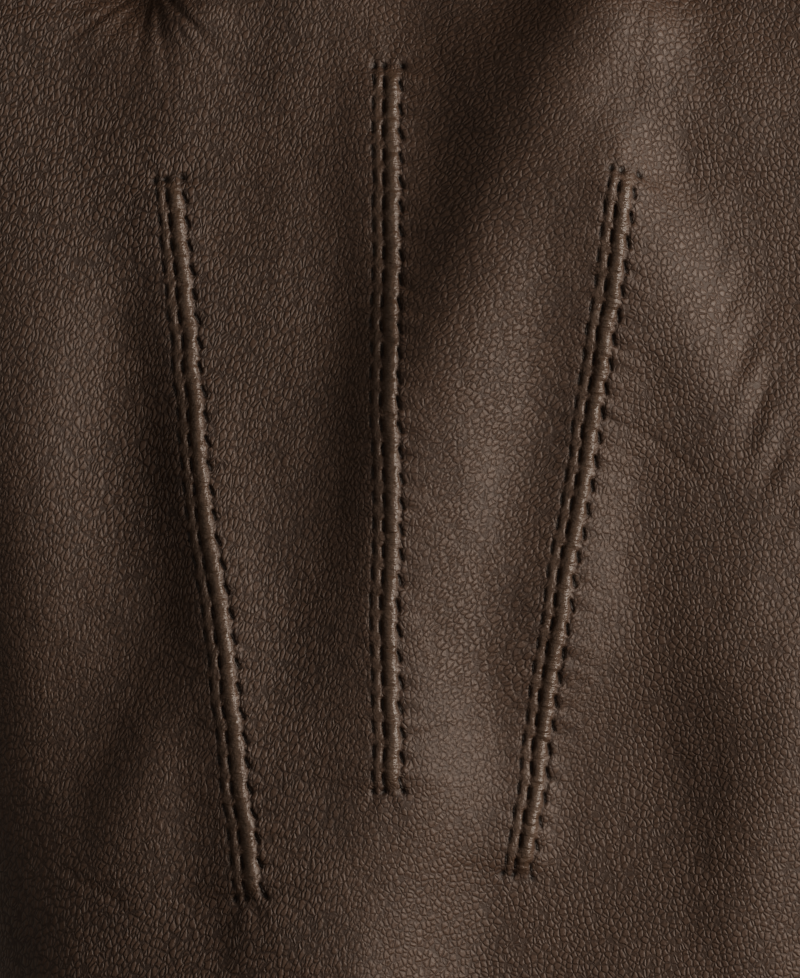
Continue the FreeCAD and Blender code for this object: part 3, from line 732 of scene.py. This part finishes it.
def finger_point(name, side, along, up=7.0):
    """A point on a finger's line, in the row frame."""
    x, y, angle = FINGERS[name][:3]
    a = math.radians(angle)
    return Vector(to_row(np.array([x + along * math.sin(a), y + along * math.cos(a), up]), side))


def fix(obj, side, part):
    """Makes a hand piece ride on its body. A finger piece stays where it is, with its placement baked into its
    points.
    """
    if part in ("back", "points", "palm", "hand"):
        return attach(obj, f"{side}_hand")
    finger, stretch = part.split("_")
    base = FINGERS[finger][3]
    if stretch == "lower":
        bend = KNUCKLE_BEND[finger]
        start, end = finger_point(finger, side, 0), finger_point(finger, side, bend)
        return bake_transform(obj)
    start, end = finger_point(finger, side, base - MIDDLE_BEND), finger_point(finger, side, base + MIDDLE_BEND)
    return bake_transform(obj)


def parts_of(middles):
    """The name of the part that each face belongs to."""
    names = np.where(middles[:, 2] > SIDE_SEAM_HEIGHT, "back", "palm").astype(object)
    best = np.full(len(middles), 1e9)
    for finger, (_, _, _, base, tip, wide, mid, end) in FINGERS.items():
        u, s, _ = finger_frame(finger, middles)
        half = through(s, [0, base, base + tip], [wide / 2, mid / 2, end / 2])
        miss = np.abs(u) - half
        mine = (s > 0) & (miss < best) & (miss < 4)
        if finger != "thumb":
            mine &= middles[:, 0] < 58
        split = KNUCKLE_BEND[finger] + (base - MIDDLE_BEND - KNUCKLE_BEND[finger]) / 2
        names[mine & (s <= split)] = f"{finger}_lower"
        names[mine & (s > split)] = f"{finger}_upper"
        best[mine] = miss[mine]
    return names


def node_of(part, cloth):
    """The CAD node that a finger piece stands for."""
    finger, stretch = part.split("_")
    return f"{finger}_{'base' if stretch == 'lower' else 'tip'}_{cloth}"


def face_middles(points, faces):
    sizes = np.array([len(f) for f in faces])
    flat = np.concatenate([np.array(f) for f in faces])
    owner = np.repeat(np.arange(len(faces)), sizes)
    return np.stack([np.bincount(owner, points[flat, k], len(faces)) for k in range(3)], 1) / sizes[:, None]


def subset(faces, chosen):
    """The chosen faces, numbered over their own points, and which points those are."""
    kept = [faces[i] for i in np.nonzero(chosen)[0]]
    used = np.unique(np.concatenate([np.array(f) for f in kept]))
    index = np.full(used.max() + 1, -1)
    index[used] = np.arange(len(used))
    return [index[f].tolist() for f in kept], used


def on_back(middles):
    """The fine part of the back of the hand."""
    x0, x1, y0, y1 = BACK
    x, y, z = middles.T
    return (x > x0) & (x < x1) & (y > y0) & (y < y1) & (z > BACK_HEIGHT)


def on_points(middles):
    """The strips of the back that carry the stitched points."""
    on = np.zeros(len(middles), bool)
    for point in POINTS:
        t, q, length = point_frame(point, middles[:, 0], middles[:, 1])
        on |= (t > -2.4) & (t < length + 2.4) & (np.abs(q) < 2.7)
    return on & (middles[:, 2] > BACK_HEIGHT)


def on_fingers(middles):
    """The fingers, the folded cuff and what is finer still."""
    on = on_back(middles)
    for finger in FINGERS:
        u, s, _ = finger_frame(finger, middles)
        on |= (s > -6) & (np.abs(u) < 17)
    return on | (middles[:, 1] < 14)


def build_leather():
    """All the leather pieces of both gloves, cut from one surface."""
    points, quads = surface_net(leather_field, (-62, -3, -2.4), (106, 241, 33), STEP)
    points = relax(points, quads, leather_field)
    points, faces = refine(points, quads, on_fingers, on_back, on_points)
    points = onto(leather_field, points)
    middles = face_middles(points, faces)
    inner = glove_field(middles) < INNER_DEPTH
    parts = parts_of(middles)
    parts[on_points(middles) & ~inner] = "points"
    normals = vertex_normals(points, faces)
    h, tuck, hole_and_shade, seam = relief(points, normals)
    h = np.where(glove_field(points) < INNER_DEPTH, 0, h)
    points = points + h[:, None] * normals
    points[:, 2] = np.maximum(points[:, 2], 0.02)
    normals = vertex_normals(points, faces)
    x, y = points[:, 0], points[:, 1]
    steep = step(-x, -4, 9) * (0.75 + 0.25 * noise(x / 14, y / 14, 12))
    slanted = step(x, 0.5, 6) * (1 - step(x, 14, 26)) * step(y, 60, 90) * (0.8 + 0.2 * noise(x / 9, y / 9, 13))
    lean = np.stack([np.clip(steep, 0, 1), np.clip(slanted, 0, 1), 0 * x], 1)
    shares = {"tuck": tuck, "hole_and_shade": hole_and_shade, "seam": seam, "lean": lean}
    middles = face_middles(points, faces)
    replaced = {
        "back": ["back_panel", "fork_quirks"],
        "points": ["back_points"],
        "palm": ["palm_panel", "wrist_elastic"],
    }
    for side in SIDES:
        for part in sorted(set(parts)):
            f, used = subset(faces, (parts == part) & ~inner)
            local = {key: values[used] for key, values in shares.items()}
            obj = add_piece(f"{side}_{part}_leather", side, points[used], f, LEATHER_MATERIAL,
                            normals[used], local)
            fix(obj, side, part)
            nodes = replaced[part] if part in replaced else [node_of(part, "leather")]
            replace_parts(obj, *[f"{side}_{n}" for n in nodes])
        f, used = subset(faces, inner & (middles[:, 1] < HEM_END))
        local = {key: values[used] for key, values in shares.items()}
        hem = add_piece(f"{side}_cuff_hem_leather", side, points[used], f, LEATHER_MATERIAL,
                        normals[used], local)
        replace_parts(fix(hem, side, "hand"), f"{side}_cuff_hem")
    return points, faces, normals, middles


def build_lining():
    """The lining pieces of both gloves, open at the cuff."""
    points, quads = surface_net(lining_field, (-60, 7, 0), (104, 238, 30), LINING_STEP)
    points = relax(points, quads, lining_field, 3)
    faces = [q[::-1] for q in quads.tolist()]
    middles = face_middles(points, faces)
    parts = parts_of(middles)
    parts[(parts == "back") | (parts == "palm")] = "hand"
    for side in SIDES:
        for part in sorted(set(parts)):
            f, used = subset(faces, parts == part)
            obj = add_piece(f"{side}_{part}_lining", side, points[used], f, LINING_MATERIAL)
            fix(obj, side, part)
            node = "hand_lining" if part == "hand" else node_of(part, "lining")
            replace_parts(obj, f"{side}_{node}")


def rod(points, radius, sides=7):
    """A rounded rod through points, as its points and faces."""
    points = np.asarray(points, float)
    along = np.gradient(points, axis=0)
    along /= np.linalg.norm(along, axis=1)[:, None]
    helper = np.where(np.abs(along[:, 2:3]) < 0.9, np.array([[0.0, 0, 1]]), np.array([[1.0, 0, 0]]))
    a = np.cross(along, helper)
    a /= np.linalg.norm(a, axis=1)[:, None]
    b = np.cross(along, a)
    turns = np.linspace(0, 2 * math.pi, sides, endpoint=False)
    share = np.ones(len(points))
    share[0] = share[-1] = 0.45
    ring = a[:, None] * np.cos(turns)[None, :, None] + b[:, None] * np.sin(turns)[None, :, None]
    out = (points[:, None] + radius * share[:, None, None] * ring).reshape(-1, 3)
    faces = []
    for i in range(len(points) - 1):
        for j in range(sides):
            k = (j + 1) % sides
            faces.append([i * sides + j, i * sides + k, (i + 1) * sides + k, (i + 1) * sides + j])
    faces.append(list(range(sides))[::-1])
    last = (len(points) - 1) * sides
    faces.append([last + j for j in range(sides)])
    return out, faces


def rods(name, side, paths, radius):
    """Many stitches as one piece that rides on the hand."""
    points, faces, count = [], [], 0
    for path in paths:
        p, f = rod(path, radius)
        points.append(p)
        faces += [[i + count for i in face] for face in f]
        count += len(p)
    obj = add_piece(name, side, np.concatenate(points), faces, THREAD_MATERIAL)
    return fix(obj, side, "hand")


def top_of(x, y):
    """Height of the plain glove's upper surface."""
    lo, hi = np.full_like(x, 8.0), np.full_like(x, 34.0)
    for _ in range(22):
        mid = (lo + hi) / 2
        inside = glove_field(np.stack([x, y, mid], 1)) < 0
        lo, hi = np.where(inside, mid, lo), np.where(inside, hi, mid)
    return (lo + hi) / 2


def point_threads():
    """The paths of the stitches of the three points."""
    paths = []
    half_stitch = 0.26  # of a pitch
    for k, point in enumerate(POINTS):
        far, near = np.array(point[0]), np.array(point[1])
        line = far - near
        length = np.hypot(*line)
        d = line / length
        side = np.array([d[1], -d[0]])
        pitch = length / STITCHES
        for row, (offset, lean, *_) in enumerate(ROWS):
            for i in range(STITCHES):
                place = np.linspace(-half_stitch, half_stitch, 5)
                t = (i + 0.5 - ROW_SHIFT * row + place) * pitch
                q = offset - lean * place - wobble(t, k) - 0.06 * noise(0 * t + i * 2.3, 0 * t, 75 + row)
                xy = near + np.outer(t, d) + np.outer(q, side)
                sink = 0.24 * (np.abs(place) / half_stitch) ** 3
                paths.append(np.column_stack([xy, sink]))
    flat = np.concatenate(paths)
    relief_here = back_relief(flat[:, 0], flat[:, 1])[0]
    flat[:, 2] = top_of(flat[:, 0], flat[:, 1]) + relief_here + 0.04 - flat[:, 2]
    return np.split(flat, len(paths))


def hem_threads():
    """The paths of the row of stitches round the cuff, found from an oval round it inwards."""
    paths = []
    middle, half_core = np.array([[2.5, HEM_SEAM, 14.0]]), np.array([[30.0, 0, 0]])
    for turn in np.linspace(0, 2 * math.pi, HEM_STITCHES, endpoint=False):
        ring = []
        for a in np.linspace(turn, turn + 0.62 * 2 * math.pi / HEM_STITCHES, 4):
            ring.append((2.5 + 62 * math.cos(a), HEM_SEAM, 14.0 + 26 * math.sin(a)))
        ring = np.array(ring)
        centre = middle + np.clip(ring - middle, -half_core, half_core)
        lo, hi = np.zeros(len(ring)), np.ones(len(ring))
        for _ in range(20):
            mid = (lo + hi) / 2
            inside = glove_field(centre + (ring - centre) * mid[:, None]) < -0.10
            lo, hi = np.where(inside, mid, lo), np.where(inside, hi, mid)
        spots = centre + (ring - centre) * lo[:, None]
        spots[:, 2] = np.maximum(spots[:, 2], 0.25)
        paths.append(spots)
    return paths


def care_label():
    """A blank satin label that lies on the lining inside the cuff."""
    across, along = np.meshgrid(np.linspace(-31.0, -17.0, 15), np.linspace(11.5, 33.0, 23))
    rise = 0.35 + 0.9 * step(along, 20, 33) + 0.25 * np.sin(along / 3.1 + across / 7.0) * step(along, 12, 18)
    under = np.column_stack([across.ravel(), along.ravel(), (LINING_DEPTH + rise).ravel()])
    over = under + [0.0, 0.0, 0.25]
    rows, columns = across.shape
    cells = [(i * columns + j, i * columns + j + 1) for i in range(rows - 1) for j in range(columns - 1)]
    count = rows * columns
    faces = [[a, a + columns, b + columns, b] for a, b in cells]
    faces += [[a + count, b + count, b + count + columns, a + count + columns] for a, b in cells]
    rim = list(range(columns)) + [i * columns + columns - 1 for i in range(1, rows)]
    rim += [(rows - 1) * columns + j for j in range(columns - 2, -1, -1)]
    rim += [i * columns for i in range(rows - 2, 0, -1)]
    faces += [[a, b, b + count, a + count] for a, b in zip(rim, rim[1:] + rim[:1])]
    points = np.concatenate([under, over])
    for side in SIDES:
        fix(add_piece(f"{side}_care_label", side, points, faces, LABEL_MATERIAL), side, "hand")


def touch_pads(points, faces, normals, middles):
    """A smooth conductive patch on the palm side of the index and thumb tips."""
    for finger in ("index", "thumb"):
        base, tip = FINGERS[finger][3:5]
        u, s, z = finger_frame(finger, middles)
        centre = base + tip - PAD_FROM_END
        oval = np.abs(u / PAD_SIZE[0]) ** 2.6 + np.abs((s - centre) / PAD_SIZE[1]) ** 2.6
        inside = (oval < 1) & (z < 4)
        f, used = subset(faces, inside)
        lifted = points[used] + 0.22 * normals[used]
        lifted[:, 2] = np.maximum(lifted[:, 2], 0.0)
        shares = {key: np.zeros(len(used)) for key in ("tuck", "hole_and_shade", "seam")}
        shares["lean"] = np.zeros((len(used), 3))
        for side in SIDES:
            obj = add_piece(f"{side}_{finger}_touch_pad", side, lifted, f, PAD_MATERIAL, None, shares)
            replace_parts(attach(obj, f"{side}_{finger}_tip"), f"{side}_{finger}_touch_pad")


leather = build_leather()
build_lining()
care_label()
touch_pads(*leather)
stitches = point_threads()
cuff_stitches = hem_threads()
for side in SIDES:
    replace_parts(rods(f"{side}_point_threads", side, stitches, POINT_THREAD), f"{side}_point_stitching")
    rods(f"{side}_hem_threads", side, cuff_stitches, HEM_THREAD)


# ---------------------------------------------------------------------------------------------------
# Floor, light and camera
# ---------------------------------------------------------------------------------------------------
WARM_WHITE = (1.0, 0.875, 0.755)
FLOOR_HALF, FLOOR_Z = 30, -0.0004
CAMERA_HEIGHT = 0.55  # above the crown of the hand
CROWN_Z = 0.021
SENSOR = 36.0
FRAME_HEIGHT = 0.0940  # how much of the crown the frame's height takes in
VIEW_CENTRE = (-0.1056, -0.0170)


def area_light(name, place, target, size, power):
    """A square soft light."""
    data = bpy.data.lights.new(name, "AREA")
    data.shape, data.size, data.size_y, data.energy = "RECTANGLE", size, size, power
    data.color = WARM_WHITE
    obj = bpy.data.objects.new(name, data)
    bpy.context.scene.collection.objects.link(obj)
    obj.location = place
    obj.rotation_euler = (Vector(target) - Vector(place)).to_track_quat("-Z", "Y").to_euler()
    obj.visible_camera = False


corners = [(x * FLOOR_HALF, y * FLOOR_HALF, FLOOR_Z) for x, y in ((-1, -1), (1, -1), (1, 1), (-1, 1))]
floor_mesh = mesh_from("floor", corners, [[0, 1, 2, 3]])
floor_mesh.materials.append(plain("floor", (0.72, 0.71, 0.69), 0.8))
floor = bpy.data.objects.new("floor", floor_mesh)
bpy.context.scene.collection.objects.link(floor)

world = bpy.data.worlds.new("studio")
world.use_nodes = True
world.node_tree.nodes["Background"].inputs[0].default_value = (1.0, 0.93, 0.85, 1)
world.node_tree.nodes["Background"].inputs[1].default_value = 0.06
bpy.context.scene.world = world

# low light from the thumb side, as in the photograph, with weak light from the other side and from above
area_light("key", (0.86, 0.16, 0.53), (-0.09, -0.01, 0.02), 0.60, 23.4)
area_light("fill", (-0.5, 0.3, 0.9), (0, 0, 0), 1.2, 1.6)
area_light("top", (0.05, -0.25, 1.2), (0, 0, 0), 1.0, 2.2)

camera_data = bpy.data.cameras.new("camera")
camera_data.sensor_width = SENSOR
camera_data.lens = SENSOR * CAMERA_HEIGHT / FRAME_HEIGHT
camera = bpy.data.objects.new("camera", camera_data)
camera.location = (*VIEW_CENTRE, CROWN_Z + CAMERA_HEIGHT)
camera.rotation_euler = (0.0, 0.0, 0.0)  # straight down
bpy.context.scene.collection.objects.link(camera)
bpy.context.scene.camera = camera
